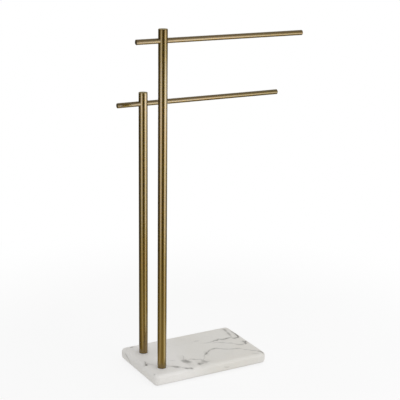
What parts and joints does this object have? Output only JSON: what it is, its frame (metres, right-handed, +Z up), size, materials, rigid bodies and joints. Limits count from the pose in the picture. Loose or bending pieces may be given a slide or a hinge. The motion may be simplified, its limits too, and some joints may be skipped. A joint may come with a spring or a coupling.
{
  "type": "freestanding towel stand",
  "caption": "Freestanding towel stand: a veined stone slab carries a tall and a short round post near one end, each crossed near its top by a thin horizontal rail.",
  "frame": {"origin": "middle of the stone base's footprint, on the floor under the non-slip mat", "axes": "+X along the long arms of the rails, +Y from the tall front post to the short rear post, +Z up along the posts"},
  "size_m": [0.512, 0.23, 0.987],
  "materials": {
    "white_stone": "honed white stone with grey veins",
    "aged_brass": "brushed aged brass, drawn along each tube",
    "zinc_steel": "zinc-plated steel",
    "mat_rubber": "fine-grained non-slip foam rubber",
    "gasket_rubber": "smooth black rubber"
  },
  "bodies": {
    "root": {"base_slab": "white_stone", "base_mat": "mat_rubber", "tall_post_tube": "aged_brass", "tall_post_cap": "aged_brass", "tall_post_foot_plug": "zinc_steel", "tall_post_gasket": "gasket_rubber", "tall_post_clamp_block": "zinc_steel", "upper_rail_tube": "aged_brass", "upper_rail_left_cap": "aged_brass", "upper_rail_right_cap": "aged_brass", "short_post_tube": "aged_brass", "short_post_cap": "aged_brass", "short_post_foot_plug": "zinc_steel", "short_post_gasket": "gasket_rubber", "short_post_clamp_block": "zinc_steel", "lower_rail_tube": "aged_brass", "lower_rail_left_cap": "aged_brass", "lower_rail_right_cap": "aged_brass", "base_bolts": "zinc_steel", "base_flat_washers": "zinc_steel", "base_spring_washers": "zinc_steel", "rail_grub_screws": "zinc_steel"}
  },
  "joints": []
}
